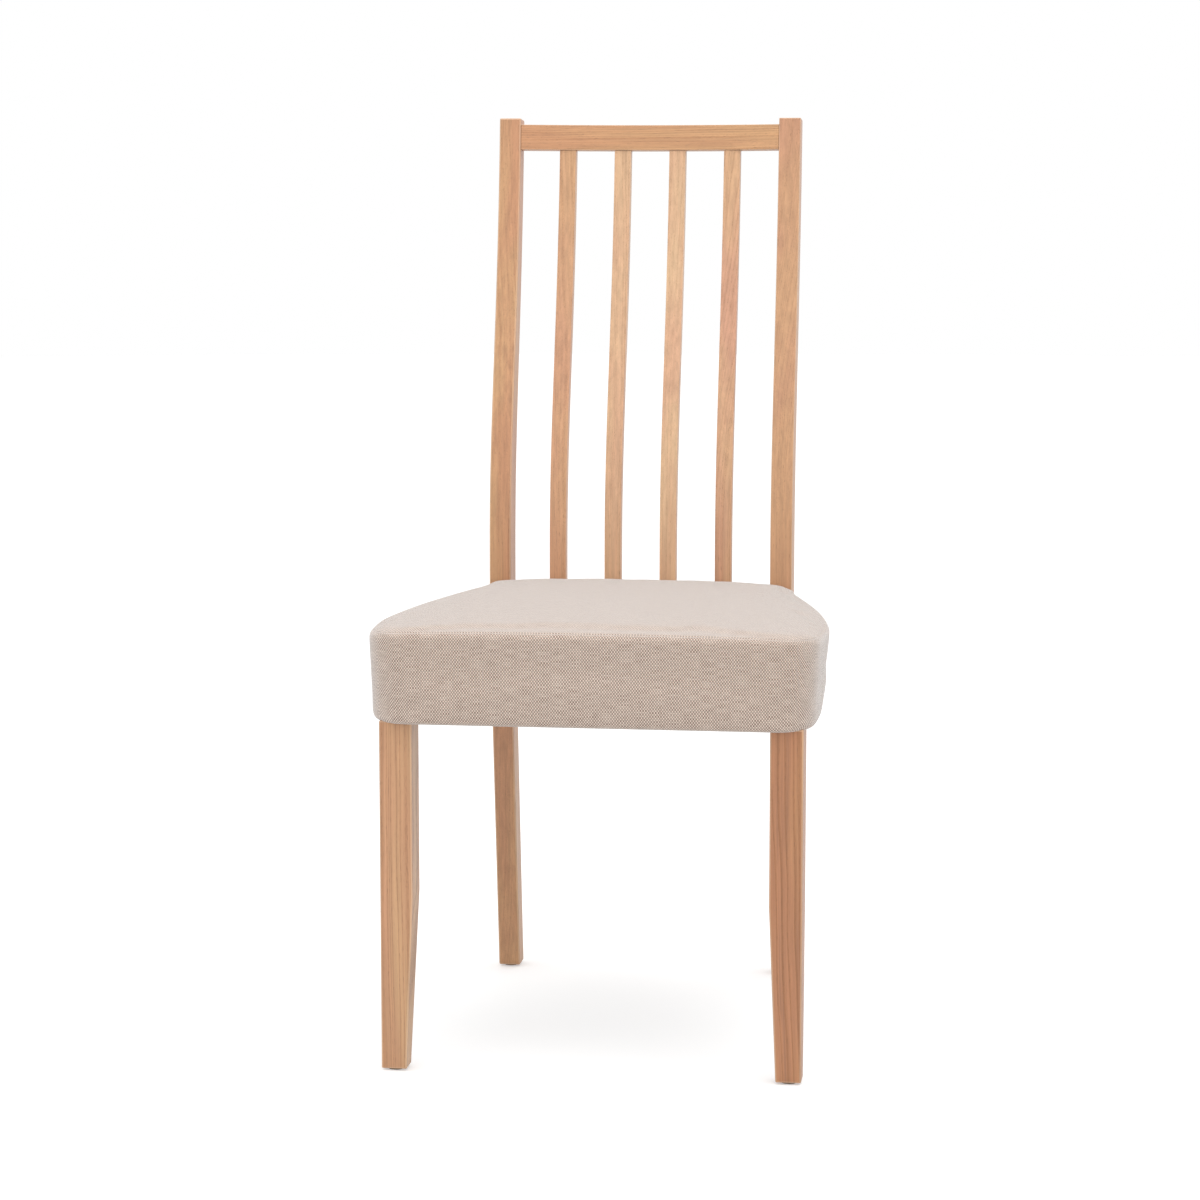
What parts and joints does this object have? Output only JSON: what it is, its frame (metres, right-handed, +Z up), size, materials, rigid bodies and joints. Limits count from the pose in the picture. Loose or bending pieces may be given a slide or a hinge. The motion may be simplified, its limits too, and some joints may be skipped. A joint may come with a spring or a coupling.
{
  "type": "dining chair",
  "caption": "High-backed oak dining chair with curved posts, upright slats, a bowed crest rail, tapered front legs and a box seat upholstered in woven fabric.",
  "frame": {"origin": "on the floor, under the middle of the chair's bounding box", "axes": "+Z up; the chair faces -Y; +X is to the right as seen from the front"},
  "size_m": [0.4912, 0.5616, 1.04],
  "materials": {
    "oak": "clear satin lacquer on solid oak",
    "beech": "planed, unfinished",
    "plywood": "sanded, unfinished",
    "foam": "open-cell polyurethane foam",
    "woven_fabric": "fine beige and off-white weave",
    "dust_cloth": "black spun-bonded cloth",
    "zinc_steel": "bright zinc plate",
    "nylon": "moulded brown nylon"
  },
  "bodies": {
    "root": {"back_post_right": "oak", "back_post_left": "oak", "front_leg_right": "oak", "front_leg_left": "oak", "crest_rail": "oak", "lower_back_rail": "oak", "back_slat_1": "oak", "back_slat_2": "oak", "back_slat_3": "oak", "back_slat_4": "oak", "front_seat_rail": "beech", "rear_seat_rail": "beech", "side_seat_rail_right": "beech", "side_seat_rail_left": "beech", "front_corner_block_right": "beech", "front_corner_block_left": "beech", "rear_corner_block_right": "beech", "rear_corner_block_left": "beech", "seat_deck": "plywood", "seat_foam": "foam", "seat_cover": "woven_fabric", "dust_cover": "dust_cloth", "post_bolt_lower_right": "zinc_steel", "post_bolt_lower_left": "zinc_steel", "post_bolt_upper_right": "zinc_steel", "post_bolt_upper_left": "zinc_steel", "barrel_nut_lower_right": "zinc_steel", "barrel_nut_lower_left": "zinc_steel", "barrel_nut_upper_right": "zinc_steel", "barrel_nut_upper_left": "zinc_steel", "deck_screw_front_right": "zinc_steel", "deck_screw_front_left": "zinc_steel", "deck_screw_rear_right": "zinc_steel", "deck_screw_rear_left": "zinc_steel", "deck_screw_side_front_right": "zinc_steel", "deck_screw_side_front_left": "zinc_steel", "deck_screw_side_rear_right": "zinc_steel", "deck_screw_side_rear_left": "zinc_steel", "front_block_screw_front_right": "zinc_steel", "front_block_screw_front_left": "zinc_steel", "front_block_screw_side_right": "zinc_steel", "front_block_screw_side_left": "zinc_steel", "rear_block_screw_rear_right": "zinc_steel", "rear_block_screw_rear_left": "zinc_steel", "rear_block_screw_side_right": "zinc_steel", "rear_block_screw_side_left": "zinc_steel", "front_glide_right": "nylon", "front_glide_left": "nylon", "rear_glide_right": "nylon", "rear_glide_left": "nylon"}
  },
  "joints": []
}
